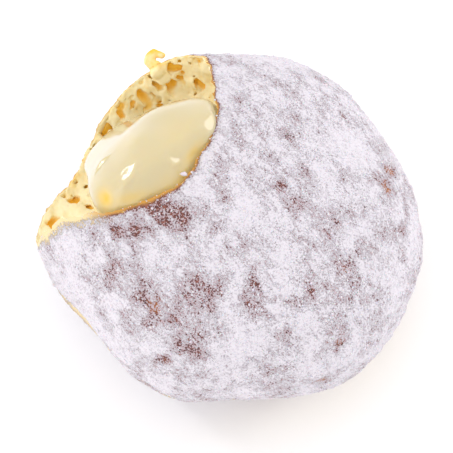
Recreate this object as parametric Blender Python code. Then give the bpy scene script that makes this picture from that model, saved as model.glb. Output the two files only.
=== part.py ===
"""Cream-filled doughnut with a bite taken out of its upper edge, lying on its flat underside.

The doughnut is one solid of fried dough, cut by the bite and hollowed for its filling. The cream is a
second solid, which fills the pocket and bulges out of the bite. Lengths are in metres, +Z is up, and
the origin is under the middle of the doughnut, on the surface it lies on. The front is towards -Y and
the bite is at the back left.
"""

import math
import random

import bmesh
import bpy
from mathutils import Matrix, Vector, noise

MM = 0.001

# Driving dimensions of the uncut doughnut
RADIUS = 43.4 * MM
CROWN_HEIGHT = 26 * MM
BELT_HEIGHT = 25 * MM
UNDERSIDE_DROP = 28.5 * MM
PUFFINESS = 2.3
# Each swell of the outline: how many lobes go round, their height as a share, the angle of one crest
OUTLINE_SWELLS = (
    (2, 0.018, -29.0),
    (3, 0.023, -43.0),
    (4, 0.013, -9.0),
    (5, 0.015, -34.5),
    (6, 0.0225, 2.0),
)
LUMP_HEIGHT = 0.5 * MM
LUMP_SPACING = 15 * MM

# A fuller place in the outline beside the bite, by its angle
SHOULDER_SIDE = 108.0
SHOULDER_HALF_WIDTH = 9.0
SHOULDER_HEIGHT = 0.9 * MM

# The belt, a pale groove round the flank where neither fried side reached
BELT_GROOVE = 0.4 * MM
BELT_HALF_WIDTH = 3 * MM
BELT_DROP = 6.5 * MM
BELT_TILT = 7 * MM
BELT_HIGH_SIDE = 140.0

# The bite, in axes of its own: X down its slope, Y along it towards the left, Z out of it
BITE_SIDE = 135.0
BITE_SLOPE = 45.0
BITE_CENTRE = Vector((10.3, 8.0, 27.2)) * MM
BITE_RADIUS = 24.4 * MM
BITE_SWELLS = (
    (2, 0.1555, 73.7),
    (3, 0.1006, 49.6),
    (4, 0.0149, 13.7),
    (5, 0.0256, 5.6),
    (6, 0.0116, 14.3),
    (7, 0.0175, 18.3),
)
BITE_DEPTH = 10.7 * MM
BITE_CLEARANCE = 30 * MM
BITE_LEAN = -2.2
BITE_SQUARENESS = 2.9
CRAG_HEIGHT = 0.8 * MM
CRAG_SPACING = 4.5 * MM

# Bubbles of the crumb that the bite opened, each placed by its turn and its drop below the rim
PORE_SEED = 11
PORE_COUNT = 22
SMALLEST_PORE = 0.8 * MM
LARGEST_PORE = 1.8 * MM
PORE_DROPS = (-12.0, 65.0)
PORE_CLEARANCE = 0.7 * MM

# A crumb that curls up like a hook at the back of the bite, leaning away from the front
CURL_CENTRE = Vector((-18.6, 40.7, 8.2)) * MM
CURL_RADIUS = 1.5 * MM
CURL_THICKNESS = 1.2 * MM
CURL_TAPER = 0.3
CURL_BEADS = 7
CURL_START = 265.0
CURL_SWEEP = 220.0
CURL_LEAN = 64.0
CURL_ROOT_DROP = 3 * MM
CURL_ROOT_THICKNESS = 1.6 * MM

# The cream: a pocket in the middle, and in the bite's axes its filling, the bulge and its tongue
POCKET_REACH = Vector((25, 22, 9)) * MM
FILLING_CENTRE = Vector((7.4, 3.7, 12.3)) * MM
FILLING_REACH = Vector((20.1, 16.4, 11.1)) * MM
BULGE_CENTRE = Vector((-0.4, 6.1, 22.0)) * MM
BULGE_REACH = Vector((10.0, 18.3, 9.9)) * MM
TONGUE_CENTRE = Vector((9.3, 5.4, 28.7)) * MM
TONGUE_REACH = Vector((16.0, 11.0, 3.2)) * MM
TONGUE_TILT = -6.8
CREAM_BLEND = 8 * MM
CREAM_HEART = Vector((5, 4, 18)) * MM
CREAM_GAP = 0.4 * MM
LONGEST_REACH = 60 * MM
SEARCH_STEPS = 24

# How finely each piece is faceted: cells along one side of the cube that its ball grows from
DOUGH_CELLS = 23
BITE_CELLS = 14
CREAM_CELLS = 13
PORE_CELLS = 3
BEAD_CELLS = 2

# Colours as linear red, green, blue, and how rough each surface is
CRUST_COLOUR = (0.80, 0.74, 0.76)
CREAM_COLOUR = (0.90, 0.78, 0.45)
CRUST_ROUGHNESS = 0.85
CREAM_ROUGHNESS = 0.30


def clear_scene():
    for old in list(bpy.data.objects):
        bpy.data.objects.remove(old, do_unlink=True)


def food_material(name, colour, roughness):
    material = bpy.data.materials.new(name)
    material.use_nodes = True
    surface = material.node_tree.nodes["Principled BSDF"]
    surface.inputs["Base Color"].default_value = (*colour, 1.0)
    surface.inputs["Roughness"].default_value = roughness
    surface.inputs["Metallic"].default_value = 0.0
    return material


def ball(name, cells, point_of):
    """A closed mesh of even cells, each corner moved to where point_of puts its direction."""
    mesh = bpy.data.meshes.new(name)
    grid = bmesh.new()
    bmesh.ops.create_cube(grid, size=2.0)
    bmesh.ops.subdivide_edges(grid, edges=grid.edges[:], cuts=cells - 1, use_grid_fill=True)
    for corner in grid.verts:
        warped = Vector(math.tan(share * math.pi / 4) for share in corner.co)
        corner.co = point_of(warped.normalized())
    bmesh.ops.recalc_face_normals(grid, faces=grid.faces[:])
    grid.to_mesh(mesh)
    grid.free()
    mesh.shade_smooth()
    piece = bpy.data.objects.new(name, mesh)
    bpy.context.scene.collection.objects.link(piece)
    return piece


def swollen(radius, swells, azimuth):
    """The radius of a circle with swells, in a direction round it."""
    swell = 1.0
    for lobes, share, crest in swells:
        swell += share * math.cos(lobes * (azimuth - math.radians(crest)))
    return radius * swell


def puffed(direction, side_reach, top_reach, bottom_reach, fullness):
    """Where a direction meets an egg that is fuller than an oval, for a fullness over 2."""
    level = math.hypot(direction.x, direction.y)
    end_reach = top_reach if direction.z > 0 else bottom_reach
    share = (level / side_reach) ** fullness + (abs(direction.z) / end_reach) ** fullness
    return direction * share ** (-1 / fullness)


# The uncut doughnut


def belt_height(azimuth):
    """Where the belt's groove runs, above the widest level."""
    return BELT_TILT * math.cos(azimuth - math.radians(BELT_HIGH_SIDE)) - BELT_DROP


def dough_point(direction):
    """The surface of the uncut doughnut in a direction from the middle of its belt."""
    azimuth = math.atan2(direction.y, direction.x)
    outline = swollen(RADIUS, OUTLINE_SWELLS, azimuth)
    point = puffed(direction, outline, CROWN_HEIGHT, UNDERSIDE_DROP, PUFFINESS)
    point += direction * LUMP_HEIGHT * noise.noise(point / LUMP_SPACING)
    sideways = Vector((direction.x, direction.y, 0))
    off_shoulder = (math.degrees(azimuth) - SHOULDER_SIDE) / SHOULDER_HALF_WIDTH
    point += sideways * SHOULDER_HEIGHT * math.exp(-(off_shoulder**2))
    above_groove = (point.z - belt_height(azimuth)) / BELT_HALF_WIDTH
    point -= sideways * BELT_GROOVE * math.exp(-(above_groove**2))
    point.z = max(point.z, -BELT_HEIGHT)
    return point


# The bite


def bite_frame():
    turn = Matrix.Rotation(math.radians(BITE_SIDE), 4, "Z")
    tip = Matrix.Rotation(math.radians(BITE_SLOPE), 4, "Y")
    return turn @ tip


def bite_point(direction):
    """The surface of the scoop that the teeth took, with crumb crags all over."""
    outline = swollen(BITE_RADIUS, BITE_SWELLS, math.atan2(direction.y, direction.x))
    point = puffed(direction, outline, BITE_CLEARANCE, BITE_DEPTH, BITE_SQUARENESS)
    return point + direction * CRAG_HEIGHT * noise.noise(point / CRAG_SPACING)


def scoop_frame():
    """Places the scoop's own middle and its lean in the bite's axes."""
    return Matrix.Translation(BITE_CENTRE) @ Matrix.Rotation(math.radians(BITE_LEAN), 4, "X")


def bite_cutter():
    cutter = ball("bite_cutter", BITE_CELLS, bite_point)
    cutter.matrix_world = bite_frame() @ scoop_frame()
    return cutter


def depth_in_dough(point):
    """How far in from the uncut doughnut's surface a point lies."""
    return dough_point(point.normalized()).length - point.length


def pore_cutters():
    """Round pits where bubbles in the crumb were bitten open, clear of all else."""
    draw = random.Random(PORE_SEED)
    pits = []
    while len(pits) < PORE_COUNT:
        turn = math.radians(draw.uniform(0, 360))
        drop = math.radians(draw.uniform(*PORE_DROPS))
        radius = draw.uniform(SMALLEST_PORE, LARGEST_PORE)
        level = math.cos(drop)
        direction = Vector((math.cos(turn) * level, math.sin(turn) * level, -math.sin(drop)))
        centre = scoop_frame() @ bite_point(direction)
        room = [(centre - other).length - size for other, size in pits]
        room.append(outside_cream(centre))
        room.append(depth_in_dough(bite_frame() @ centre))
        if min(room) > radius + PORE_CLEARANCE:
            pits.append((centre, radius))
    cutters = []
    for number, (centre, radius) in enumerate(pits):
        cutter = ball(f"pore_cutter_{number}", PORE_CELLS, lambda way: way * radius)
        cutter.location = bite_frame() @ centre
        cutters.append(cutter)
    return cutters


def curl_beads():
    """The curled crumb as a row of overlapping beads, from its root and round a hook."""
    upward = Vector((0, math.sin(math.radians(CURL_LEAN)), math.cos(math.radians(CURL_LEAN))))
    sideways = Vector((1, 0, 0))
    places = [(CURL_CENTRE - upward * CURL_ROOT_DROP, CURL_ROOT_THICKNESS)]
    for number in range(CURL_BEADS):
        share = number / (CURL_BEADS - 1)
        turn = math.radians(CURL_START - CURL_SWEEP * share)
        round_hook = sideways * math.cos(turn) + upward * math.sin(turn)
        places.append((CURL_CENTRE + round_hook * CURL_RADIUS, CURL_THICKNESS * (1 - CURL_TAPER * share)))
    beads = []
    for place, radius in places:
        bead = ball("curl_bead", BEAD_CELLS, lambda way: way * radius)
        bead.location = place
        beads.append(bead)
    return beads


# The filling


def outside_egg(place, reach):
    """Roughly how far a place seen from an egg's middle lies outside it, and negative inside."""
    shares = Vector(part / size for part, size in zip(place, reach))
    return (shares.length - 1) * min(reach)


def blended(first, second):
    """The lesser of two distances, with the crease between them rounded."""
    mix = max(CREAM_BLEND - abs(first - second), 0) / CREAM_BLEND
    return min(first, second) - mix**2 * CREAM_BLEND / 4


def outside_cream(point):
    """How far a point lies outside the cream, in the bite's axes."""
    untilt = Matrix.Rotation(math.radians(TONGUE_TILT), 3, "Y")
    lobes = (
        (point - FILLING_CENTRE, FILLING_REACH),
        (point - BULGE_CENTRE, BULGE_REACH),
        (untilt @ (point - TONGUE_CENTRE), TONGUE_REACH),
    )
    whole = outside_egg(bite_frame() @ point, POCKET_REACH)
    for place, reach in lobes:
        whole = blended(whole, outside_egg(place, reach))
    return whole


def cream_point(direction, gap):
    """Where a direction from the cream's heart leaves the cream and a gap round it, found by halving."""
    inner, outer = 0.0, LONGEST_REACH
    for _ in range(SEARCH_STEPS):
        middle = (inner + outer) / 2
        if outside_cream(CREAM_HEART + direction * middle) < gap:
            inner = middle
        else:
            outer = middle
    return direction * inner


def cream_ball(name, gap):
    piece = ball(name, CREAM_CELLS, lambda direction: cream_point(direction, gap))
    piece.matrix_world = bite_frame() @ Matrix.Translation(CREAM_HEART)
    return piece


# Cutting and placing


def combine(piece, others, operation):
    """Joins the others to a piece, or cuts them out of it, and removes them."""
    tools = bpy.data.collections.new("tools")
    bpy.context.scene.collection.children.link(tools)
    for other in others:
        other.hide_render = True
        other.display_type = "WIRE"
        tools.objects.link(other)
    step = piece.modifiers.new(operation.lower(), "BOOLEAN")
    step.operation = operation
    step.operand_type = "COLLECTION"
    step.solver = "EXACT"
    step.collection = tools
    view = bpy.context.evaluated_depsgraph_get()
    result = bpy.data.meshes.new_from_object(piece.evaluated_get(view))
    piece.modifiers.remove(step)
    piece.data = result
    for other in others:
        bpy.data.objects.remove(other, do_unlink=True)
    bpy.data.collections.remove(tools)


def stand_on_origin(pieces):
    """Moves all the pieces so that the middle of their underside lies on the origin."""
    corners = [piece.matrix_world @ vertex.co for piece in pieces for vertex in piece.data.vertices]
    middle = []
    for axis in range(3):
        places = [corner[axis] for corner in corners]
        middle.append((min(places) + max(places)) / 2)
    lowest = min(corner.z for corner in corners)
    base = bpy.data.objects.new("doughnut", None)
    bpy.context.scene.collection.objects.link(base)
    base.location = (-middle[0], -middle[1], -lowest)
    for piece in pieces:
        piece.parent = base


def main():
    clear_scene()
    crust = food_material("fried_dough", CRUST_COLOUR, CRUST_ROUGHNESS)
    custard = food_material("pastry_cream", CREAM_COLOUR, CREAM_ROUGHNESS)
    dough = ball("dough", DOUGH_CELLS, dough_point)
    dough.data.materials.append(crust)
    cream = cream_ball("cream", 0.0)
    cream.data.materials.append(custard)
    combine(dough, [bite_cutter()] + pore_cutters(), "DIFFERENCE")
    combine(dough, curl_beads(), "UNION")
    combine(dough, [cream_ball("cream_cutter", CREAM_GAP)], "DIFFERENCE")
    stand_on_origin([dough, cream])


main()
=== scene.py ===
"""Looks of the cream-filled doughnut: sugared crust, open crumb, pastry cream and loose sugar.

The file is laid out as an add-on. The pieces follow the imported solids: the same ball with a bite and
the same cream, made finer. Shapes are worked out from the middle of the belt, and moved to their place
in the frame at the end. +Z is up. Lengths are in metres, but for the tables of spots, bubbles, swells,
flats and tints, which are in millimetres.
"""

import itertools
import math

import bpy
import numpy as np
import openvdb
from bpy.props import FloatProperty, FloatVectorProperty, IntProperty, PointerProperty
from mathutils import Matrix, Vector, noise


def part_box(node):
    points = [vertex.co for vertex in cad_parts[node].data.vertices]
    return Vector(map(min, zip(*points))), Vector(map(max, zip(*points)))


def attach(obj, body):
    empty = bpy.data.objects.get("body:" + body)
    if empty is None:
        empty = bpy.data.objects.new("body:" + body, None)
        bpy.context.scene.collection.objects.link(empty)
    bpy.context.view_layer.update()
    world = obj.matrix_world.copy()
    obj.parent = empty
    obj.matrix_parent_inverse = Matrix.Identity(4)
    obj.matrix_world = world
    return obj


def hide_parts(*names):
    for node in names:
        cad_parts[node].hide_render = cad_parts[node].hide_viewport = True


bl_info = {
    "name": "Cream-filled doughnut",
    "version": (1, 0, 0),
    "blender": (4, 5, 0),
    "location": "3D View > Sidebar > Doughnut",
    "description": "Builds a bitten, sugared doughnut with pastry cream, and its studio",
    "category": "Add Mesh",
}

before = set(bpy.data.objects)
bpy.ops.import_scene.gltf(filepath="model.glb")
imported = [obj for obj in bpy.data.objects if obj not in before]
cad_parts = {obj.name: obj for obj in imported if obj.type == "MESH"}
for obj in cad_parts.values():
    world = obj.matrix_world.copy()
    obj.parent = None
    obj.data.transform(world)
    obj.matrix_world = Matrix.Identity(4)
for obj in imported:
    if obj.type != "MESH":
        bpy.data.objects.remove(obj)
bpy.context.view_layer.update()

MM = 0.001

# The uncut doughnut, as the dough solid has it
RADIUS = 43.4 * MM
CROWN_HEIGHT = 26 * MM
BELT_HEIGHT = 25 * MM
UNDERSIDE_DROP = 28.5 * MM
PUFFINESS = 2.3
# Each swell of the outline: how many lobes go round, their height as a share, the angle of one crest
OUTLINE_SWELLS = (
    (2, 0.018, -29.0),
    (3, 0.023, -43.0),
    (4, 0.013, -9.0),
    (5, 0.015, -34.5),
    (6, 0.0225, 2.0),
)
LUMP_HEIGHT = 0.5 * MM
LUMP_SPACING = 15 * MM
SHOULDER_SIDE = 108.0
SHOULDER_HALF_WIDTH = 9.0
SHOULDER_HEIGHT = 0.9 * MM
BELT_GROOVE = 0.4 * MM
BELT_HALF_WIDTH = 3 * MM
BELT_DROP = 6.5 * MM
BELT_TILT = 7 * MM
BELT_HIGH_SIDE = 140.0
# The pale band along the belt's groove
BELT_COLOUR_DROP = 1 * MM
BELT_COLOUR_HALF_WIDTH = 4.5 * MM

# The bite, in axes of its own: X down its slope, Y along it towards the left, Z out of it
BITE_SIDE = 135.0
BITE_SLOPE = 45.0
BITE_CENTRE = np.array((10.3, 8.0, 27.2)) * MM
BITE_RADIUS = 24.4 * MM
BITE_SWELLS = (
    (2, 0.1555, 73.7),
    (3, 0.1006, 49.6),
    (4, 0.0149, 13.7),
    (5, 0.0256, 5.6),
    (6, 0.0116, 14.3),
    (7, 0.0175, 18.3),
)
BITE_DEPTH = 10.7 * MM
BITE_CLEARANCE = 30 * MM
BITE_LEAN = -2.2
BITE_SQUARENESS = 2.9
CRAG_HEIGHT = 0.8 * MM
CRAG_SPACING = 4.5 * MM

# The curled crumb at the back of the bite
CURL_CENTRE = np.array((-18.4, 40.7, 8.2)) * MM
CURL_RADIUS = 1.5 * MM
CURL_THICKNESS = 1.5 * MM
CURL_TAPER = 0.5
CURL_BEADS = 15
CURL_ROOT_DROP = 3 * MM
CURL_ROOT_THICKNESS = 1.9 * MM
CURL_START = 265.0
CURL_SWEEP = 220.0
CURL_LEAN = 64.0
CURL_ROUGHNESS = 0.3 * MM
CURL_BLEND = 0.5 * MM
CURL_MARGIN = 1.5 * MM

# A flake of sugar that stands on the near rim
FLAKE_CENTRE = np.array((-11.0, 0.4, 25.9)) * MM
FLAKE_RADIUS = 0.9 * MM

# The filling, in the bite's axes but for the pocket
POCKET_REACH = np.array((25, 22, 9)) * MM
FILLING_CENTRE = np.array((7.4, 3.7, 12.3)) * MM
FILLING_REACH = np.array((20.1, 16.4, 11.1)) * MM
BULGE_CENTRE = np.array((-0.4, 6.1, 22.0)) * MM
BULGE_REACH = np.array((10.0, 18.3, 9.9)) * MM
TONGUE_CENTRE = np.array((9.3, 5.4, 28.7)) * MM
TONGUE_REACH = np.array((16.0, 11.0, 3.2)) * MM
TONGUE_TILT = -6.8
CREAM_BLEND = 8 * MM
# The search for the cream's surface: where it starts from, how far out it goes and how often it halves
CREAM_HEART = np.array((5, 4, 18)) * MM
LONGEST_REACH = 60 * MM
SEARCH_STEPS = 24

# How finely the pieces are meshed: cells along a side of the cube that each ball grows from
CRUST_CELLS = 118
INNER_CELLS = 52
SCOOP_CELLS = 100
ROOM_CELLS = 30
CREAM_CELLS = 116
POCKET_CELLS = 26
# The same for the dough solid, and for the surfaces that the crumb lies between
SOLID_CELLS = 23
WALL_CELLS = 90
SKIN_CELLS = 70
FILLING_CELLS = 40
# Side of the small cubes that the crumb is worked out in, how many of them past the crumb distances are
# kept, how far past the bite's rim they reach, and how far they reach into the filling
CRUMB_CELL = 0.2975 * MM
BAND_CELLS = 3
CRUMB_MARGIN = 2 * MM
FILLING_OVERLAP = 1.0 * MM
# Seeds of the random draws
CRUMB_DRAW = 5
SUGAR_DRAW = 21
# The crust's material slots
SUGARED_SIDE, CUT_SIDE = 0, 1

# Bare spots of the sugar: the way from the belt's middle, as a turn and a rise in degrees, and a radius
BARE_SPOTS = (
    (-121, 28, 5.9),
    (-105, 38, 4.6),
    (-20, 60, 3.0),
    (-10, 66, 2.0),
    (27, 70, 2.2),
    (39, 58, 2.1),
    (-38, 31, 1.7),
    (-24, 27, 1.9),
    (1, 28, 3.0),
    (11, 22, 2.0),
    (-57, 18, 2.6),
    (-64, 2, 2.4),
    (-147, 57, 4.9),
    (-156, 38, 2.6),
    (-149, 42, 3.4),
    (-144, 28, 4.6),
    (-160, 29, 2.2),
    (-60, 32, 2.4),
    (-82, 41, 2.4),
    (-93, 27, 2.2),
    (-108, 22, 3.6),
    (-112, 14, 2.4),
    (120, -15, 6.0),
    (60, -5, 5.0),
    (25, -30, 5.5),
    (170, -30, 6.0),
    (-80, -35, 6.5),
)
# Places where the sugar lies thick and smooth, given the same way
THICK_SPOTS = (
    (-74, 71, 4.2),
    (-86, 24, 4.4),
    (-31, 12, 4.2),
    (-163, 18, 4.2),
    (-136, 20, 2.8),
    (-152, 12, 4.2),
    (-128, 8, 4.4),
    (-172, 2, 4.0),
    (-160, 3, 5.0),
    (-143, 6, 4.6),
    (-112, 2, 4.0),
    (-12, 14, 3.8),
    (20, 35, 6.0),
    (75, 20, 6.0),
    (150, -5, 5.0),
)
# Places where the crust under the sugar is more orange
WARM_SPOTS = (
    (1, 28, 3.4),
    (11, 23, 2.4),
    (-57, 18, 2.8),
    (-64, 2, 3.0),
    (-40, 32, 2.0),
    (-121, 30, 3.2),
    (-160, 12, 2.0),
    (-108, 16, 2.4),
)
# The way that the crust's wrinkles and the sugar's streaks run, and how long they are for their width
STREAK_TURN = -55.0
STREAK_STRETCH = 3.0
SPECK_STRETCH = 2.2

# Layers of smooth noise: each a height, the spacing of its bumps and a shift to another part of the noise
COVER_PATCHES = ((0.26, 9 * MM, 4.4), (0.3, 3.4 * MM, 8.8))
COVER_STREAKS = ((0.3, 2.0 * MM, 1.7),)
COVER_ON_BELT = ((1.0, 6 * MM, 5.5),)
WRINKLES = ((0.8, 3.0 * MM, 2.2),)
BLISTERS = ((0.5, 1.5 * MM, 6.1),)
RIPPLES = ((1.0, 7 * MM, 3.3),)
HEAPS = ((0.5, 1.7 * MM, 9.4), (0.35, 0.9 * MM, 3.9))
BITE_TEARS = ((0.5 * MM, 1.6 * MM, 4.2), (0.3 * MM, 0.8 * MM, 8.1))
CRUMB_TEARS = ((0.12 * MM, 0.9 * MM, 2.7),)
# How far the spots' edges are swirled, the spacing of the swirls and their shifts
SWIRL = 2.0 * MM
SWIRL_SPACING = 5 * MM
SWIRL_SHIFTS = (3.1, 7.7, 12.3)

# How well sugar covers the crust, from 0 to 1, and what takes it off or adds to it
EVEN_COVER = 0.58
BARE_SPOT_LOSS = 0.5
THICK_SPOT_GAIN = 0.4
BELT_LOSS = 0.66
RIM_LOSS = 0.7
NEAR_RIM_LOSS = 0.14
NEAR_RIM_REACH = 5 * MM
UNDERSIDE_LOSS = 0.3
# The rim of the bite that is free of sugar, how much wider it is on the near side's left half, and how
# far past it the sugar is thin
RIM_WIDTH = 0.3 * MM
RIM_WIDENING = 0.15 * MM
RIM_MARGIN = 0.5 * MM
# The sugar's surface: its level as a share of its thickness, how far that sinks where there is none, and
# how deep the crust's surface may lie
SUGAR_LEVEL = 0.7
BARE_SINK = 0.6
DEEPEST_SINK = -0.45 * MM
# Folds of the crust's mesh that are sharper than this show as edges
SHARPEST_FOLD = 50.0
# How much less the crust is hollowed than the crumb and the cream reach, so that no gap shows
CUT_OVERLAP = 0.4 * MM

# Bubbles in the crumb beside the cream: a place in the bite's axes, their reach across it, up it and in
OPEN_BUBBLES = (
    ((26.4, -8.8, 28.7), (1.1, 2.6, 1.04)),
    ((26.9, 2.0, 29.6), (0.8, 1.7, 0.65)),
    ((27.0, -2.8, 31.6), (0.9, 1.5, 0.585)),
    ((24.8, -13.2, 29.2), (1.0, 1.1, 0.65)),
    ((23.4, -15.5, 28.2), (1.4, 1.2, 0.715)),
    ((24.0, -14.4, 26.4), (1.2, 1.0, 0.65)),
    ((21.7, -17.5, 27.6), (1.0, 1.3, 0.65)),
    ((18.8, -19.7, 26.0), (0.8, 2.0, 0.65)),
    ((25.6, -11.6, 26.4), (0.9, 0.9, 0.52)),
)
# How uneven they are, how round their edges are, and how far past their reach they are worked out
BUBBLE_ROUGHNESS = 0.35 * MM
BUBBLE_EDGE = 0.3 * MM
BUBBLE_MARGIN = 1 * MM
# Smaller bubbles strewn over the crumb: their spacing as a share of the largest, how rare they are and
# their depth
STREWN_BUBBLES = (
    (1.0, 1.0, 0.8),
    (0.5, 0.95, 0.5),
    (0.25, 0.85, 0.25),
)
STREWN_EDGE_SHARE = 0.35
# How deep behind the bite those go, and how much crumb they leave under the crust
BUBBLE_FLOOR = 1.4 * MM
BUBBLE_WALL = 0.5 * MM
# The torn crumb's crags and its frayed line under the crust, each a height and a spacing, and the spacing
# of the unevenness of the large bubbles and the curl
CRAG_CLOUDS = ((0.7, 2.6 * MM), (0.4, 1.2 * MM))
FRAYING = ((0.22 * MM, 1.4 * MM),)
UNEVEN_SPACING = 1.3 * MM
# How far in from the doughnut's surface the crumb ends, in the bite and behind the crust
FRAYED_GAP = 0.25 * MM
HIDDEN_GAP = 0.55 * MM
# Near the rim the crags are calmer and the wall drops, but for the far side, where it rises
RIM_REACH = 2.5 * MM
RIM_CALM = 0.5
RIM_DROP = 0.4 * MM
FAR_RIM_RISE = 0.85 * MM
# How far past the bite a bubble has its deepest painted shade, how far from the crust the crumb is
# browned, and how much less it is at the bite's left end
BUBBLE_SHADE_DEPTH = 1.8 * MM
CRUSTY_REACH = 0.6 * MM
CRUSTY_LOSS = 0.8
# How golden the curl is, and how far round it
CURL_TINT = 0.45
CURL_TINT_REACH = 4 * MM

# Broad swells and dents of the cream: a place in the bite's axes, how far each spreads and how high it is
CREAM_SWELLS = (
    ((-1.3, 14.3, 31.9), 5.0, -0.5),
    ((-6.0, 1.4, 31.4), 5.0, -0.8),
    ((-3.5, 8.0, 31.6), 3.6, 0.5),
    ((-9.5, -4.0, 27.9), 4.0, 0.6),
    ((-11.5, 8.5, 26.8), 4.2, 0.5),
    ((3.0, 1.3, 33.2), 5.0, 0.5),
    ((3.4, 16.6, 31.6), 1.7, 0.35),
    ((-6.2, 16.0, 29.4), 1.9, 0.4),
    ((0.3, 18.0, 30.9), 1.2, 0.3),
    ((-2.9, 23.0, 27.9), 1.9, -0.9),
)
# Small flats that the spoon left, which shine: a place in the bite's axes, which way it faces and runs in
# the frame's axes, and its half length and half width
CREAM_FLATS = (
    ((2.6, 17.3, 32.4), (-0.411, -0.128, 0.903), (0.5, 0.75, 0.36), 2.6, 1.0),
    ((-7.3, 16.5, 30.4), (-0.428, -0.117, 0.896), (0.55, 0.74, 0.36), 3.4, 1.3),
    ((-11.1, 6.9, 27.6), (0.597, -0.101, 0.796), (1.0, 0.0, 0.0), 1.7, 1.7),
    ((-8.5, -5.4, 27.5), (0.588, -0.121, 0.8), (0.44, 0.81, 0.39), 3.0, 1.2),
)
# Where the cream is painted a deeper yellow: two broad patches, painted shade on the brightly lit left end,
# and a spot in the dent; each a place in the bite's axes, a radius and a share
CREAM_TINTS = (
    ((-0.3, 10.9, 34.0), 6.0, 0.10),
    ((-8.0, 2.0, 32.0), 4.5, 0.12),
    ((16.0, 12.0, 30.0), 6.0, 0.2),
    ((-2.9, 23.0, 27.9), 2.0, 1.0),
)
# How far a flat reaches through the cream, and how deep it may be pressed
FLAT_THROUGH = 3 * MM
DEEPEST_FLAT = -0.1 * MM
# The ripples are twice as long down the bite's slope as along it
RIPPLE_SQUEEZE = (0.5, 1, 1)
# The groove between the cream and the near rim's left half, and the lip on the other half
GROOVE_DEPTH = 0.55 * MM
GROOVE_REACH = 1.1 * MM
LIP_HEIGHT = 0.6 * MM
LIP_REACH = 2.5 * MM
# How much painted glow, a deeper yellow, the cream has along the rim, and how far from it
RIM_GLOW_SHARE = 1.1
RIM_GLOW_REACH = 1.3 * MM

# Where parts of the surface start and are whole, along the bite's axes
LEFT_END = (24 * MM, 29 * MM)
LEFT_END_DEPTH = 2 * MM
BELOW_LEFT_END = (22 * MM, 14 * MM)
LEFT_RIM = (-6 * MM, 8 * MM)
NEAR_RIM = (4 * MM, -8 * MM)
FAR_SIDE = (-1 * MM, 7 * MM)
CRUMB_TIP = (19 * MM, 25 * MM)
CREAM_NEAR_SIDE = (9 * MM, -3 * MM)
CREAM_LEFT_HALF = (-7 * MM, 0)
CREAM_LEFT_GLOW = (-4 * MM, 4 * MM)
# The same for heights from the belt's middle, and for distances past the bite
UNDERSIDE = (-20 * MM, -24 * MM)
RESTING = (-BELT_HEIGHT, -BELT_HEIGHT + 1.5 * MM)
OFF_FLOOR = (-BELT_HEIGHT + 1 * MM, -BELT_HEIGHT + 4 * MM)
CLEAR_OF_BITE = (-0.5 * MM, 1.5 * MM)
UNDER_CRUST = (0.2 * MM, 1.0 * MM)

# What lies on the crust, in the sum that the sugar's finish makes: bare up to the first value, a thin veil
# at the second and piled from the third
BARE, VEILED, PILED = 2.44, 2.58, 3.05

# Loose sugar: its chance of lying where the crust is bare, the smallest radius as a share of the largest,
# and how much rarer the large clumps are than the small ones
BARE_CLUMPS = 0.15
BARE_GRAINS = 0.5
SMALLEST_CLUMP = 0.35
SMALLEST_GRAIN = 0.5
CLUMP_RARITY = 2.5
# Its shapes: how dented they are, and their height and their other two sides as shares of the radius
DENTS = 0.28
CLUMP_FLATNESS = (0.4, 0.8)
GRAIN_FLATNESS = (0.6, 1.0)
SIDE_LENGTHS = (0.8, 1.25)

# Softboxes: the way from the doughnut, the distance and the side in metres, and the tint
SOFTBOXES = {
    "key": ((0.85, 0.32, 0.38), 0.6, 0.25, (1.0, 1.0, 1.0)),
    "glint": ((-0.75, 0.25, 0.6), 0.5, 0.08, (1.0, 1.0, 1.0)),
    "fill": ((-0.6, -0.8, 0.4), 0.6, 0.45, (1.0, 0.98, 0.96)),
}
FLOOR_REACH = 1.5
# The camera's sensor in millimetres, and the nearest that it sees
SENSOR_WIDTH = 36
NEAREST_SEEN = 0.01

BITE_TURN = np.array(
    Matrix.Rotation(math.radians(BITE_SIDE), 3, "Z") @ Matrix.Rotation(math.radians(BITE_SLOPE), 3, "Y")
)
SCOOP_TURN = np.array(Matrix.Rotation(math.radians(BITE_LEAN), 3, "X"))
TONGUE_TURN = np.array(Matrix.Rotation(math.radians(-TONGUE_TILT), 3, "Y"))


# Sizes and colours that a user would change


def hex_colour(text):
    """An sRGB hex colour as linear red, green and blue."""
    shares = [int(text[start : start + 2], 16) / 255 for start in (0, 2, 4)]
    return tuple(s / 12.92 if s <= 0.04045 else ((s + 0.055) / 1.055) ** 2.4 for s in shares)


def length(name, millimetres, description):
    return FloatProperty(name=name, default=millimetres * MM, unit="LENGTH", description=description)


def number(name, default, description):
    return IntProperty(name=name, default=default, min=0, description=description)


def colour(name, hex_text, description):
    return FloatVectorProperty(
        name=name,
        default=hex_colour(hex_text),
        size=3,
        min=0,
        max=1,
        subtype="COLOR",
        description=description,
    )


def power(name, default, description):
    return FloatProperty(name=name, default=default, min=0, unit="POWER", description=description)


class DoughnutSizes(bpy.types.PropertyGroup):
    """Sizes of the crust, the crumb, the cream and the sugar."""

    crust: length("Crust", 0.6, "Thickness of the browned crust at its cut edge")
    sugar: length("Sugar coat", 0.6, "Thickness of the powdered sugar where it lies thick")
    wrinkle: length("Wrinkles", 0.5, "Height of the crust's wrinkles and blisters")
    lining: length("Crumb depth", 3.6, "How deep the open crumb goes behind the bite")
    crags: length("Crags", 0.65, "Height of the torn crumb's crags")
    sponge: length("Bubble spacing", 3.0, "How far apart the crumb's largest bubbles lie")
    ripple: length("Cream ripples", 0.25, "Height of the soft ripples in the cream")
    clump: length("Sugar clump", 0.34, "Radius of the largest clumps of sugar")
    clumps: number("Sugar clumps", 9300, "How many clumps of sugar lie on the crust")
    grain: length("Sugar grain", 0.15, "Radius of the largest loose grains of sugar")
    grains: number("Sugar grains", 23000, "How many loose grains of sugar lie on the crust")


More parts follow.
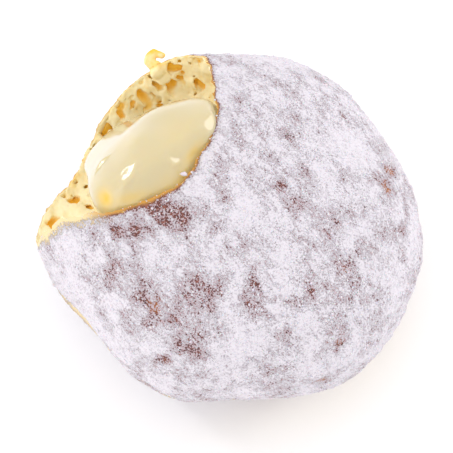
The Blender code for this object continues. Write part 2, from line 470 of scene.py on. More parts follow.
class DoughnutColours(bpy.types.PropertyGroup):
    """Colours of the doughnut's surfaces."""

    sugar: colour("Sugar", "E2DCE1", "Powdered sugar where it lies thick")
    # Painted shade: the grey drawn into the pits of the piled sugar
    pit_shade_sugar: colour("Shaded sugar", "BAAFB8", "Pits between the grains of sugar")
    thin_sugar: colour("Thin sugar", "DABDC3", "Powdered sugar thin enough for the crust to tint it")
    dark_crust: colour("Dark crust", "583230", "Darkest spots of the fried crust")
    crust: colour("Crust", "955848", "Fried crust")
    warm_crust: colour("Orange crust", "B8733C", "Lightest spots of the fried crust")
    cut_crust: colour("Cut crust", "D0973C", "The fried crust's cut edge")
    belt: colour("Belt", "EED8A4", "The belt round the flank, which the oil did not reach")
    pale_crumb: colour("Pale crumb", "FFF1C4", "Thin walls between the crumb's bubbles")
    gold_crumb: colour("Golden crumb", "FFDC86", "Crumb between the walls and the bubbles")
    # Painted shade: the deeper gold drawn on the floors of the crumb's bubbles
    bubble_shade_crumb: colour("Deep crumb", "FFC63A", "The floor of the crumb's bubbles")
    cream: colour("Cream", "D5C69B", "Pastry cream")
    # Painted glow along the cream's rim and painted shade on its lit left end, drawn as a deeper yellow
    glow_and_shade_cream: colour("Golden cream", "F4CC4C", "Pastry cream where it is thin against the crust")
    floor: colour("Floor", "FFFFFF", "The studio floor")
    room: colour("Room", "FCFCFF", "The light all round")


class DoughnutStudio(bpy.types.PropertyGroup):
    """Camera and lights."""

    height: FloatProperty(
        name="Camera height",
        default=math.radians(64),
        subtype="ANGLE",
        description="Angle of the camera above the table",
    )
    distance: length("Camera distance", 398.8, "From the camera to the middle of the doughnut")
    aim_right: length("Aim right", -1.56, "How far right of the belt's middle the camera looks")
    aim_up: length("Aim up", 0.09, "How far above the belt's middle the camera looks")
    lens: FloatProperty(name="Lens", default=135, unit="CAMERA", description="Focal length")
    sky: FloatProperty(name="Room light", default=1.06, min=0, description="Strength of the light all round")
    key: power("Key light", 0.8, "Main softbox")
    glint: power("Left light", 0.32, "Small left softbox")
    fill: power("Fill light", 0.52, "Broad front softbox")


# Shapes, worked out from the middle of the belt


def ball(cells):
    """Directions and four-cornered faces of a ball that grows from a cube's even cells."""
    side = np.arange(cells)
    first, second = (steps.ravel() for steps in np.meshgrid(side, side, indexing="ij"))
    width = cells + 1
    weights = np.array((width * width, width, 1))
    squares = []
    for axis in range(3):
        for end in (0, cells):
            ring = ((0, 0), (1, 0), (1, 1), (0, 1))
            if end == 0:
                ring = ring[::-1]
            keys = []
            for first_step, second_step in ring:
                places = np.empty((len(first), 3), int)
                places[:, axis] = end
                places[:, (axis + 1) % 3] = first + first_step
                places[:, (axis + 2) % 3] = second + second_step
                keys.append(places @ weights)
            squares.append(np.stack(keys, 1))
    keys, faces = np.unique(np.concatenate(squares), return_inverse=True)
    lattice = np.stack((keys // width**2, keys // width % width, keys % width), 1)
    warped = np.tan((lattice / cells * 2 - 1) * math.pi / 4)
    return unit(warped), faces.reshape(-1, 4)


def unit(vectors):
    return vectors / np.maximum(np.linalg.norm(vectors, axis=-1, keepdims=True), 1e-12)


def bumps(points, spacing, shift=0.0):
    """Smooth noise, whose bumps and dips lie a spacing apart."""
    scaled = points / spacing + shift
    return np.array([noise.noise(place) for place in scaled.tolist()])


def stretched(points, turn, stretch):
    """Points squeezed along a level direction, so that noise read there comes out stretched along it."""
    way = np.array((math.cos(math.radians(turn)), math.sin(math.radians(turn)), 0.0))
    return points + np.outer(points @ way, way) * (1 / stretch - 1)


def layered(points, level, layers):
    """A level with layers of smooth noise over it."""
    total = level
    for height, spacing, shift in layers:
        total = total + height * bumps(points, spacing, shift)
    return total


def fading(distance, reach, power_of=2):
    """1 at no distance, falling away to little past a reach, and more sharply for a higher power."""
    return np.exp(-((distance / reach) ** power_of))


def smooth_step(low, high, values):
    share = np.clip((values - low) / (high - low), 0, 1)
    return share * share * (3 - 2 * share)


def swollen(radius, swells, azimuth):
    """The radius of a circle with swells, in a direction round it."""
    swell = 1.0
    for lobes, share, crest in swells:
        swell = swell + share * np.cos(lobes * (azimuth - math.radians(crest)))
    return radius * swell


def puffed(directions, side_reach, top_reach, bottom_reach, fullness):
    """How far an egg reaches in each direction, when it is fuller than an oval for a fullness over 2."""
    level = np.hypot(directions[:, 0], directions[:, 1])
    rise = directions[:, 2]
    end_reach = np.where(rise > 0, top_reach, bottom_reach)
    share = (level / side_reach) ** fullness + (np.abs(rise) / end_reach) ** fullness
    return share ** (-1 / fullness)


def belt_height(azimuth):
    return BELT_TILT * np.cos(azimuth - math.radians(BELT_HIGH_SIDE)) - BELT_DROP


def dough_points(directions):
    """The surface of the uncut doughnut."""
    azimuth = np.arctan2(directions[:, 1], directions[:, 0])
    outline = swollen(RADIUS, OUTLINE_SWELLS, azimuth)
    points = directions * puffed(directions, outline, CROWN_HEIGHT, UNDERSIDE_DROP, PUFFINESS)[:, None]
    points += directions * (LUMP_HEIGHT * bumps(points, LUMP_SPACING))[:, None]
    off_shoulder = np.degrees(azimuth) - SHOULDER_SIDE
    shoulder = SHOULDER_HEIGHT * fading(off_shoulder, SHOULDER_HALF_WIDTH)
    points[:, :2] += directions[:, :2] * shoulder[:, None]
    groove = BELT_GROOVE * fading(points[:, 2] - belt_height(azimuth), BELT_HALF_WIDTH)
    points[:, :2] -= directions[:, :2] * groove[:, None]
    points[:, 2] = np.maximum(points[:, 2], -BELT_HEIGHT)
    return points


def depth_in_dough(points):
    """How far in from the uncut doughnut's surface the points lie, towards the belt's middle."""
    return np.linalg.norm(dough_points(unit(points)), axis=1) - np.linalg.norm(points, axis=1)


def scoop_reach(directions):
    """How far the scoop that the teeth took reaches in each of its own directions."""
    outline = swollen(BITE_RADIUS, BITE_SWELLS, np.arctan2(directions[:, 1], directions[:, 0]))
    reach = puffed(directions, outline, BITE_CLEARANCE, BITE_DEPTH, BITE_SQUARENESS)
    return reach + CRAG_HEIGHT * bumps(directions * reach[:, None], CRAG_SPACING)


def scoop_points(directions, deeper=0.0):
    reach = scoop_reach(directions) + deeper
    return from_bite(BITE_CENTRE + (directions * reach[:, None]) @ SCOOP_TURN.T)


def past_bite(points):
    """How far past the scoop's surface the points lie, into the dough."""
    inside = (to_bite(points) - BITE_CENTRE) @ SCOOP_TURN
    return np.linalg.norm(inside, axis=1) - scoop_reach(unit(inside))


def to_bite(points):
    return points @ BITE_TURN


def from_bite(points):
    return points @ BITE_TURN.T


def outside_egg(places, reach):
    """Roughly how far places seen from an egg's middle lie outside it, and negative inside."""
    return (np.linalg.norm(places / reach, axis=-1) - 1) * reach.min()


def blended(first, second, blend):
    """The lesser of two distances, with the crease between them rounded."""
    mix = np.maximum(blend - np.abs(first - second), 0) / blend
    return np.minimum(first, second) - mix**2 * blend / 4


def past_cream(points):
    """How far the points, in the bite's axes, lie outside the cream."""
    lobes = (
        (points - FILLING_CENTRE, FILLING_REACH),
        (points - BULGE_CENTRE, BULGE_REACH),
        ((points - TONGUE_CENTRE) @ TONGUE_TURN, TONGUE_REACH),
    )
    whole = outside_egg(from_bite(points), POCKET_REACH)
    for places, reach in lobes:
        whole = blended(whole, outside_egg(places, reach), CREAM_BLEND)
    return whole


def cream_points(directions, larger=0.0):
    """The cream's surface in each direction from its heart, found by halving."""
    inner = np.zeros(len(directions))
    outer = np.full(len(directions), LONGEST_REACH)
    for _ in range(SEARCH_STEPS):
        middle = (inner + outer) / 2
        inside = past_cream(CREAM_HEART + directions * middle[:, None]) < 0
        inner = np.where(inside, middle, inner)
        outer = np.where(inside, outer, middle)
    return from_bite(CREAM_HEART + directions * (inner + larger)[:, None])


def outward(points, faces):
    """The way out of a closed mesh at each of its points."""
    corners = points[faces]
    across = np.cross(corners[:, 2] - corners[:, 0], corners[:, 3] - corners[:, 1])
    total = np.zeros_like(points)
    for corner in range(4):
        np.add.at(total, faces[:, corner], across)
    return unit(total)


def belt_middle():
    """Where the belt's middle lies in the frame, from how far the dough solid reaches."""
    lowest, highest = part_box("dough")
    outline = dough_points(ball(SOLID_CELLS)[0])
    return np.array(
        (
            highest.x - outline[:, 0].max(),
            lowest.y - outline[:, 1].min(),
            lowest.z + BELT_HEIGHT,
        )
    )


MIDDLE = belt_middle()


# Meshes and objects


def mesh_piece(name, points, faces, materials=()):
    """A smooth mesh object. Its points are given from the belt's middle and placed in the frame."""
    mesh = bpy.data.meshes.new(name)
    mesh.vertices.add(len(points))
    mesh.vertices.foreach_set("co", (points + MIDDLE).astype(np.float32).ravel())
    mesh.loops.add(faces.size)
    mesh.loops.foreach_set("vertex_index", faces.astype(np.int32).ravel())
    mesh.polygons.add(len(faces))
    starts = np.arange(len(faces), dtype=np.int32) * faces.shape[1]
    mesh.polygons.foreach_set("loop_start", starts)
    mesh.update(calc_edges=True)
    mesh.validate()
    mesh.shade_smooth()
    for material in materials:
        mesh.materials.append(material)
    piece = bpy.data.objects.new(name, mesh)
    bpy.context.scene.collection.objects.link(piece)
    return piece


def points_of(mesh):
    """The mesh's points, from the belt's middle."""
    places = np.empty(len(mesh.vertices) * 3, np.float32)
    mesh.vertices.foreach_get("co", places)
    return places.reshape(-1, 3).astype(float) - MIDDLE


def mark(piece, name, values):
    """Keeps one value for each point of the piece's mesh, for its material."""
    attribute = piece.data.attributes.new(name, "FLOAT", "POINT")
    attribute.data.foreach_set("value", np.clip(values, 0, 1).astype(np.float32))


def cut(piece, cutter, operation="DIFFERENCE", side=SUGARED_SIDE):
    """Cuts the cutter out of the piece, gives the new faces a material slot, and removes the cutter."""
    cutter.data.materials.clear()
    for material in piece.data.materials:
        cutter.data.materials.append(material)
    cutter.data.polygons.foreach_set("material_index", [side] * len(cutter.data.polygons))
    step = piece.modifiers.new("cut", "BOOLEAN")
    step.operation = operation
    step.solver = "MANIFOLD"
    step.object = cutter
    view = bpy.context.evaluated_depsgraph_get()
    result = bpy.data.meshes.new_from_object(piece.evaluated_get(view))
    piece.modifiers.remove(step)
    piece.data = result
    bpy.data.objects.remove(cutter, do_unlink=True)
    if not result.polygons:
        raise RuntimeError(f"nothing is left of {piece.name} after a cut")


def dress(piece, node):
    """Says what the piece moves with, and hides the solid that it stands for."""
    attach(piece, "root")
    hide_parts(node)


# Materials


# The Mix node's sockets for colours, whose names it also uses for numbers and vectors
MIX_COLOUR_INPUTS = (0, 6, 7)
MIX_COLOUR_OUTPUT = 2


def add(tree, kind, settings=None, values=None, links=None):
    """Adds a node with its settings, the values of its sockets and the links into them."""
    node = tree.nodes.new(kind)
    for name, setting in (settings or {}).items():
        setattr(node, name, setting)
    for name, value in (values or {}).items():
        node.inputs[name].default_value = value
    for name, source in (links or {}).items():
        tree.links.new(source, node.inputs[name])
    return node


def per_metre(millimetres):
    """The scale of a noise texture whose marks are that far apart."""
    return 1 / (millimetres * MM)


def mixed(tree, share, first, second):
    """A colour between two, each a colour or a node's output."""
    node = add(tree, "ShaderNodeMix", {"data_type": "RGBA"})
    for number_of, source in zip(MIX_COLOUR_INPUTS, (share, first, second)):
        socket = node.inputs[number_of]
        if isinstance(source, bpy.types.NodeSocket):
            tree.links.new(source, socket)
        elif isinstance(source, (int, float)):
            socket.default_value = source
        else:
            socket.default_value = (*source, 1.0)
    return node.outputs[MIX_COLOUR_OUTPUT]


def reckoned(tree, operation, first, second=0.0, third=0.0):
    """One sum of two or three values or node outputs."""
    node = add(tree, "ShaderNodeMath", {"operation": operation})
    for number_of, source in enumerate((first, second, third)):
        if isinstance(source, bpy.types.NodeSocket):
            tree.links.new(source, node.inputs[number_of])
        else:
            node.inputs[number_of].default_value = source
    return node.outputs[0]


def weighed(tree, *parts):
    """A sum of node outputs, each times its weight."""
    total = 0.0
    for value, weight in parts:
        total = reckoned(tree, "MULTIPLY_ADD", value, weight, total)
    return total


def eased(tree, value, low, high, start=0.0, end=1.0):
    """Goes softly from start to end while a value goes from low to high."""
    return add(
        tree,
        "ShaderNodeMapRange",
        {"interpolation_type": "SMOOTHSTEP"},
        {"From Min": low, "From Max": high, "To Min": start, "To Max": end},
        {"Value": value},
    ).outputs[0]


def grain_of(tree, place, millimetres, detail=2.0, rough=0.55):
    """Noise whose marks lie that far apart."""
    values = {"Scale": per_metre(millimetres), "Detail": detail, "Roughness": rough}
    return add(tree, "ShaderNodeTexNoise", None, values, {"Vector": place}).outputs[0]


def marked(tree, name):
    return add(tree, "ShaderNodeAttribute", {"attribute_name": name}).outputs["Fac"]


def new_finish(name, values):
    """A material with one shader, whose even values are set on its own sockets."""
    material = bpy.data.materials.new(name)
    material.use_nodes = True
    tree = material.node_tree
    surface = tree.nodes["Principled BSDF"]
    for socket, value in values.items():
        surface.inputs[socket].default_value = value
    return material, tree, surface


def roughened(tree, surface, height, depth, strength):
    """Feeds a height to the shader as fine relief, whose depth is in metres."""
    values = {"Strength": strength, "Distance": depth}
    relief = add(tree, "ShaderNodeBump", None, values, {"Height": height})
    tree.links.new(relief.outputs[0], surface.inputs["Normal"])


def sugared_finish(colours):
    """Powdered sugar sifted over deep-fried dough: matt white that breaks into specks of red-brown.

    Sugar grains are about 0.03 mm, too fine to show, so the specks are drawn 0.4 to 0.8 mm apart.
    """
    material, tree, surface = new_finish("Powdered sugar on fried dough", {"IOR": 1.45})
    place = add(tree, "ShaderNodeTexCoord").outputs["Object"]
    turned = add(
        tree,
        "ShaderNodeMapping",
        {"vector_type": "TEXTURE"},
        {"Rotation": (0, 0, math.radians(STREAK_TURN)), "Scale": (SPECK_STRETCH, 1, 1)},
        {"Vector": place},
    ).outputs[0]
    fine = grain_of(tree, place, 0.38, rough=0.6)
    streaky = grain_of(tree, turned, 0.75, rough=0.6)
    patchy = grain_of(tree, place, 2.2, detail=3.0, rough=0.6)
    pitted = grain_of(tree, place, 0.5, rough=0.6)
    ridged = grain_of(tree, turned, 1.5, detail=3.0, rough=0.6)
    covered = marked(tree, "sugar")
    edge = marked(tree, "edge")
    belt = marked(tree, "belt")

    # How much sugar lies at each place
    bareness = weighed(tree, (edge, -1.2), (belt, -0.35))
    noisy = ((covered, 1.5), (fine, 2.8), (streaky, 1.2), (ridged, 0.9))
    lying = weighed(tree, *noisy, (bareness, 1.0))

    # The fried crust: dark specks, orange spots, golden at the cut edge and pale on the belt
    warmth = weighed(tree, (marked(tree, "warm"), 0.6), (patchy, 1.0), (fine, 0.3))
    specks = eased(tree, weighed(tree, (fine, 0.6), (pitted, 0.6)), 0.5, 0.66)
    browned = mixed(tree, specks, colours.dark_crust, colours.crust)
    browned = mixed(tree, eased(tree, warmth, 0.8, 1.3), browned, colours.warm_crust)
    browned = mixed(tree, edge, browned, colours.cut_crust)
    browned = mixed(tree, belt, browned, colours.belt)

    # The sugar: a tinted veil where it is thin, white where it is piled, with painted shade greying the pits
    # between its grains
    pit_shade = weighed(tree, (pitted, 0.8), (ridged, 0.2), (covered, 0.04))
    pits = eased(tree, pit_shade, 0.52, 0.42, end=0.52)
    piled = mixed(tree, pits, colours.sugar, colours.pit_shade_sugar)
    thin = mixed(tree, reckoned(tree, "MULTIPLY", belt, 0.7), colours.thin_sugar, colours.belt)
    coated = mixed(tree, eased(tree, lying, BARE, VEILED), browned, thin)
    coated = mixed(tree, eased(tree, lying, VEILED, PILED), coated, piled)
    tree.links.new(coated, surface.inputs["Base Color"])
    dull = eased(tree, lying, 2.36, 2.8, start=0.55, end=0.9)
    tree.links.new(dull, surface.inputs["Roughness"])
    roughened(tree, surface, eased(tree, lying, 2.1, 3.5), depth=0.5 * MM, strength=0.9)
    return material


def cut_crust_finish(colours):
    """The crust's bitten edge: dry, fried brown outside, turning golden towards the crumb."""
    material, tree, surface = new_finish("Cut fried crust", {"Roughness": 0.7, "IOR": 1.45})
    place = add(tree, "ShaderNodeTexCoord").outputs["Object"]
    grain = grain_of(tree, place, 0.6)
    depth = weighed(tree, (grain, 0.8), (marked(tree, "depth"), 1.0))
    browned = mixed(tree, eased(tree, depth, 0.4, 0.8), colours.cut_crust, colours.gold_crumb)
    browned = mixed(tree, marked(tree, "belt"), browned, colours.belt)
    browned = mixed(tree, eased(tree, depth, 0.8, 1.2), browned, colours.pale_crumb)
    tree.links.new(browned, surface.inputs["Base Color"])
    roughened(tree, surface, grain, depth=0.2 * MM, strength=0.5)
    return material


def crumb_finish(colours):
    """Fried yeast crumb, torn open: soft pale walls round moist bubbles, painted a deeper gold as shade
    where they sink in.
    """
    values = {
        "IOR": 1.4,
        "Roughness": 0.55,
        "Subsurface Weight": 0.15,
        "Subsurface Radius": (1.0, 0.8, 0.5),
        "Subsurface Scale": 0.5 * MM,
    }
    material, tree, surface = new_finish("Fried yeast crumb", values)
    place = add(tree, "ShaderNodeTexCoord").outputs["Object"]
    coarse = grain_of(tree, place, 3.6)
    fine = grain_of(tree, place, 0.8)
    # Painted shade: the further a bubble sinks past the bite, the deeper its gold; the curl takes a golden
    # tint from the same mark
    hollow = marked(tree, "hollow")
    crusty = marked(tree, "crusty")
    toward = weighed(tree, (coarse, 1.2), (fine, 0.5), (hollow, 0.8), (crusty, 0.5))
    golden = mixed(tree, eased(tree, toward, 0.85, 1.5), colours.pale_crumb, colours.gold_crumb)
    shade_depth = weighed(tree, (hollow, 1.0), (coarse, 0.4))
    golden = mixed(tree, eased(tree, shade_depth, 0.5, 1.1), golden, colours.bubble_shade_crumb)
    browned = eased(tree, weighed(tree, (fine, 0.8), (crusty, 1.0)), 1.05, 1.5, end=0.8)
    golden = mixed(tree, browned, golden, colours.cut_crust)
    tree.links.new(golden, surface.inputs["Base Color"])
    roughened(tree, surface, fine, depth=0.2 * MM, strength=0.4)
    return material


def cream_finish(colours):
    """Cooked pastry cream, spread smooth: a wet gloss over a pale yellow that glows a little."""
    values = {
        "IOR": 1.42,
        "Roughness": 0.3,
        "Subsurface Weight": 0.5,
        "Subsurface Radius": (1.0, 0.75, 0.35),
        "Subsurface Scale": 3.0 * MM,
        "Coat Weight": 1.0,
        "Coat Roughness": 0.05,
        "Coat IOR": 1.4,
    }
    material, tree, surface = new_finish("Cooked pastry cream", values)
    place = add(tree, "ShaderNodeTexCoord").outputs["Object"]
    # The golden mark paints glow along the rim and shade on the left end, and a few yellower patches
    yellow = mixed(tree, marked(tree, "golden"), colours.cream, colours.glow_and_shade_cream)
    tree.links.new(yellow, surface.inputs["Base Color"])
    roughened(tree, surface, grain_of(tree, place, 1.6), depth=0.1 * MM, strength=0.1)
    return material


def sugar_finish(colours):
    """Clumps and grains of powdered sugar: white, matt, and lit through from within."""
    values = {
        "Base Color": (*colours.sugar, 1.0),
        "Roughness": 0.8,
        "IOR": 1.5,
        "Subsurface Weight": 0.2,
        "Subsurface Scale": 0.3 * MM,
    }
    material, tree, surface = new_finish("Powdered sugar", values)
    place = add(tree, "ShaderNodeTexCoord").outputs["Object"]
    roughened(tree, surface, grain_of(tree, place, 0.2), depth=0.05 * MM, strength=0.5)
    return material


def floor_finish(colours):
    """A sheet of white paper, as a studio floor: matt and even."""
    material, tree, surface = new_finish("White studio paper", {"Roughness": 0.9})
    place = add(tree, "ShaderNodeTexCoord").outputs["Object"]
    fibres = grain_of(tree, place, 0.4)
    tone = mixed(tree, eased(tree, fibres, 0.2, 0.8, end=0.02), colours.floor, colours.thin_sugar)
    tree.links.new(tone, surface.inputs["Base Color"])
    return material


# The crust


def spots(points, places, sharpness):
    """How much each point belongs to round spots on the doughnut, each a turn, a rise and a radius."""
    share = np.zeros(len(points))
    for turn, rise, radius in places:
        level = math.cos(math.radians(rise))
        way = (
            level * math.cos(math.radians(turn)),
            level * math.sin(math.radians(turn)),
            math.sin(math.radians(rise)),
        )
        centre = dough_points(np.array([way]))[0]
        apart = np.linalg.norm(points - centre, axis=1)
        share = np.maximum(share, fading(apart, radius * MM, sharpness))
    return share


def near_belt(points):
    """How near the points lie to the pale belt, in height."""
    azimuth = np.arctan2(points[:, 1], points[:, 0])
    above = points[:, 2] - belt_height(azimuth) + BELT_COLOUR_DROP
    return fading(above, BELT_COLOUR_HALF_WIDTH)


def left_end(points):
    """How near the points lie to the bite's left end, where it reaches the pale belt."""
    return smooth_step(*LEFT_END, to_bite(points)[:, 1]) * (past_bite(points) < LEFT_END_DEPTH)


def near_left_rim(points):
    """How far the points lie on the near side's left half of the bite."""
    places = to_bite(points)
    return smooth_step(*NEAR_RIM, places[:, 0]) * smooth_step(*LEFT_RIM, places[:, 1])


def rim_width(points):
    """How far from the bite the crust is free of sugar."""
    return RIM_WIDTH + RIM_WIDENING * near_left_rim(points)


def sugar_cover(points):
    """How well sugar covers the crust, from 0 to 1."""
    swirls = np.stack([bumps(points, SWIRL_SPACING, shift) for shift in SWIRL_SHIFTS], 1)
    swirled = points + SWIRL * swirls
    cover = layered(points, EVEN_COVER, COVER_PATCHES)
    cover = layered(stretched(points, STREAK_TURN, STREAK_STRETCH), cover, COVER_STREAKS)
    cover -= BARE_SPOT_LOSS * spots(swirled, BARE_SPOTS, 2)
    cover += THICK_SPOT_GAIN * spots(swirled, THICK_SPOTS, 3)
    cover -= layered(points, BELT_LOSS, COVER_ON_BELT) * near_belt(points)
    cover -= RIM_LOSS * fading(past_bite(points), RIM_MARGIN + rim_width(points))
    near_rim = smooth_step(0, 1, near_left_rim(points))
    near_rim = near_rim * smooth_step(*BELOW_LEFT_END, to_bite(points)[:, 1])
    cover -= NEAR_RIM_LOSS * near_rim * fading(past_bite(points), NEAR_RIM_REACH)
    cover -= UNDERSIDE_LOSS * smooth_step(*UNDERSIDE, points[:, 2])
    return np.clip(cover, 0, 1)


def crust_relief(points, cover, sizes):
    """How far the crust's wrinkles and the sugar on it stand out, or in where neither is."""
    wrinkled = layered(stretched(points, STREAK_TURN, STREAK_STRETCH), 0.0, WRINKLES)
    heaped = layered(points, SUGAR_LEVEL, HEAPS)
    relief = sizes.wrinkle * layered(points, wrinkled, BLISTERS) + sizes.sugar * (cover * heaped - BARE_SINK)
    return np.maximum(relief, DEEPEST_SINK) * smooth_step(*CLEAR_OF_BITE, past_bite(points))


def ragged_scoop(directions):
    """The scoop's surface with the teeth's small tears."""
    points = scoop_points(directions)
    return points + unit(points - from_bite(BITE_CENTRE)) * layered(points, 0.0, BITE_TEARS)[:, None]


def crust_core(cells, depth):
    """The doughnut without the outer part of its crust."""
    directions, faces = ball(cells)
    points = dough_points(directions)
    return points - outward(points, faces) * depth, faces


def crust_skin(sizes):
    """The uncut crust with its wrinkles and its sugar, flat where it rests."""
    directions, faces = ball(CRUST_CELLS)
    points = dough_points(directions)
    relief = crust_relief(points, sugar_cover(points), sizes) * smooth_step(*RESTING, points[:, 2])
    points += outward(points, faces) * relief[:, None]
    points[:, 2] = np.maximum(points[:, 2], -BELT_HEIGHT)
    return points, faces


def hollow_out(crust, sizes):
    """Takes the bite, the room for the crumb behind it and the filling's pocket out of the crust."""
    directions, faces = ball(SCOOP_CELLS)
    cut(crust, mesh_piece("scoop", ragged_scoop(directions), faces), side=CUT_SIDE)
    directions, faces = ball(ROOM_CELLS)
    room = mesh_piece("room", scoop_points(directions, sizes.lining - CUT_OVERLAP), faces)
    cut(room, mesh_piece("core", *crust_core(INNER_CELLS, sizes.crust)), "INTERSECT")
    cut(crust, room, side=CUT_SIDE)
    directions, faces = ball(POCKET_CELLS)
    cut(crust, mesh_piece("pocket", cream_points(directions, -CUT_OVERLAP), faces), side=CUT_SIDE)


def build_crust(sizes, colours):
    finishes = (sugared_finish(colours), cut_crust_finish(colours))
    crust = mesh_piece("sugared_crust", *crust_skin(sizes), finishes)
    hollow_out(crust, sizes)
    points = points_of(crust.data)
    mark(crust, "sugar", sugar_cover(points))
    mark(crust, "warm", spots(points, WARM_SPOTS, 2))
    mark(crust, "belt", np.maximum(near_belt(points), left_end(points)))
    mark(crust, "edge", fading(past_bite(points), rim_width(points)))
    mark(crust, "depth", depth_in_dough(points) / sizes.crust)
    crust.data.shade_smooth()
    crust.data.set_sharp_from_angle(angle=math.radians(SHARPEST_FOLD))
    dress(crust, "dough")


# The crumb


class Grid:
    """A box of even cells that holds distances, in metres from the belt's middle."""

    def __init__(self, lowest, highest, cell, band):
        self.cell = cell
        self.band = band
        self.start = np.floor(lowest / cell).astype(int)
        self.count = np.ceil(highest / cell).astype(int) - self.start + 1

    def distances(self, points, faces):
        """How far each cell lies outside a closed mesh, negative inside it, and no more than the band."""
        spacing = openvdb.createLinearTransform(voxelSize=self.cell)
        level = openvdb.FloatGrid.createLevelSetFromPolygons(
            points.astype(np.float32),
            quads=faces.astype(np.uint32),
            transform=spacing,
            halfWidth=self.band / self.cell,
        )
        field = np.empty(tuple(self.count), np.float32)
        level.copyToArray(field, ijk=tuple(int(step) for step in self.start))
        return field

    def window(self, centre, reach):
        """The cells within a reach of a point, and where they lie."""
        low = np.floor((centre - reach) / self.cell).astype(int) - self.start
        high = np.ceil((centre + reach) / self.cell).astype(int) - self.start + 1
        low, high = np.clip(low, 0, self.count), np.clip(high, 0, self.count)
        axes = [(np.arange(a, b) + s) * self.cell for a, b, s in zip(low, high, self.start)]
        places = np.stack(np.meshgrid(*axes, indexing="ij"), -1)
        return tuple(slice(a, b) for a, b in zip(low, high)), places

    def skin(self, field):
        """Points and faces of the surface where the field is nought."""
        level = openvdb.FloatGrid(float(self.band))
        level.copyFromArray(np.ascontiguousarray(field, np.float32))
        points, faces = level.convertToQuads(isovalue=0.0)
        return (points.astype(float) + self.start) * self.cell, faces.astype(int)

    def read(self, field, points):
        """The field at points, between the cells around them."""
        place = points / self.cell - self.start
        low = np.clip(np.floor(place).astype(int), 0, self.count - 2)
        share = np.clip(place - low, 0, 1)
        total = np.zeros(len(points))
        for step in np.ndindex(2, 2, 2):
            weight = np.prod(np.where(np.array(step) == 1, share, 1 - share), axis=1)
            total += weight * field[tuple((low + step).T)]
        return total

    def along(self, way):
        """How far each cell lies along a direction."""
        parts = [(np.arange(count) + start) * self.cell for count, start in zip(self.count, self.start)]
        return way[0] * parts[0][:, None, None] + way[1] * parts[1][:, None] + way[2] * parts[2]

    def cloud(self, spacing, draw):
        """Smooth noise over the cells, mostly between -1 and 1, whose bumps lie a spacing apart."""
        weights = []
        for count in self.count:
            place = np.arange(count) * self.cell / spacing
            low = np.floor(place).astype(int)
            share = place - low
            # The weights of a cubic B-spline, which is smooth from cell to cell
            spread = (
                (1 - share) ** 3,
                3 * share**3 - 6 * share**2 + 4,
                -3 * share**3 + 3 * share**2 + 3 * share + 1,
                share**3,
            )
            table = np.zeros((count, low[-1] + 4))
            for step, weight in enumerate(spread):
                table[np.arange(count), low + step] = weight / 6
            weights.append(table)
        lattice = draw.normal(size=[table.shape[1] for table in weights])
        return 2 * np.einsum("ai,bj,ck,ijk->abc", *weights, lattice, optimize=True)

    def clouds(self, layers, draw):
        """Layers of such noise, each a height and a spacing."""
        return sum(height * self.cloud(spacing, draw) for height, spacing in layers)


def largest_part(points, faces):
    """The largest connected part of a mesh, without the scraps that hang loose in its bubbles."""
    sides = faces.shape[1]
    edges = np.concatenate([faces[:, (corner, (corner + 1) % sides)] for corner in range(sides)])
    part = np.arange(len(points))
    settled = False
    while not settled:
        lowest = part[edges].min(1)
        spread = part.copy()
        np.minimum.at(spread, edges[:, 0], lowest)
        np.minimum.at(spread, edges[:, 1], lowest)
        spread = spread[spread]
        settled = (spread == part).all()
        part = spread
    kept = part == np.bincount(part).argmax()
    number = np.cumsum(kept) - 1
    return points[kept], number[faces[kept[faces[:, 0]]]]


def curl_beads():
    """The curled crumb, as places and sizes from its root and round a hook."""
    upward = np.array((0, math.sin(math.radians(CURL_LEAN)), math.cos(math.radians(CURL_LEAN))))
    beads = [(CURL_CENTRE - upward * CURL_ROOT_DROP, CURL_ROOT_THICKNESS)]
    for bead in range(CURL_BEADS):
        share = bead / (CURL_BEADS - 1)
        turn = math.radians(CURL_START - CURL_SWEEP * share)
        round_hook = np.array((math.cos(turn), 0, 0)) + upward * math.sin(turn)
        beads.append((CURL_CENTRE + round_hook * CURL_RADIUS, CURL_THICKNESS * (1 - CURL_TAPER * share)))
    return beads


class CrumbSpace:
    """The space round the bite, with how far each small cube lies past the surfaces that bound the crumb."""

    def __init__(self, sizes):
        directions, faces = ball(WALL_CELLS)
        scoop = scoop_points(directions)
        near_surface = scoop[depth_in_dough(scoop) > -CRUMB_MARGIN]
        margin = sizes.lining + CRUMB_MARGIN
        band = sizes.lining + BAND_CELLS * CRUMB_CELL
        self.grid = Grid(near_surface.min(0) - margin, near_surface.max(0) + margin, CRUMB_CELL, band)
        self.past_scoop = self.grid.distances(scoop, faces)
        self.past_crust = self.grid.distances(*crust_core(SKIN_CELLS, 0.0))
        directions, faces = ball(FILLING_CELLS)
        self.past_filling = self.grid.distances(cream_points(directions, -FILLING_OVERLAP), faces)


def torn_wall(space, sizes, draw):
    """The wall of crumb behind the bite, as distances, with its crags and its frayed edge."""
    grid, past_scoop, past_crust = space.grid, space.past_scoop, space.past_crust
    by_rim = np.exp(np.minimum(past_crust, 0) / RIM_REACH)
    far_side = smooth_step(*FAR_SIDE, grid.along(BITE_TURN[:, 0]))
    crags = sizes.crags * grid.clouds(CRAG_CLOUDS, draw) * (1 - RIM_CALM * by_rim)
    crags = crags + (FAR_RIM_RISE * far_side - RIM_DROP) * by_rim
    under_crust = smooth_step(*UNDER_CRUST, past_scoop)
    frayed = (grid.clouds(FRAYING, draw) - FRAYED_GAP) * (1 - under_crust) - HIDDEN_GAP * under_crust
    wall = np.maximum(-past_scoop - crags, past_scoop - sizes.lining)
    return np.maximum(wall, np.maximum(past_crust - frayed, -space.past_filling))


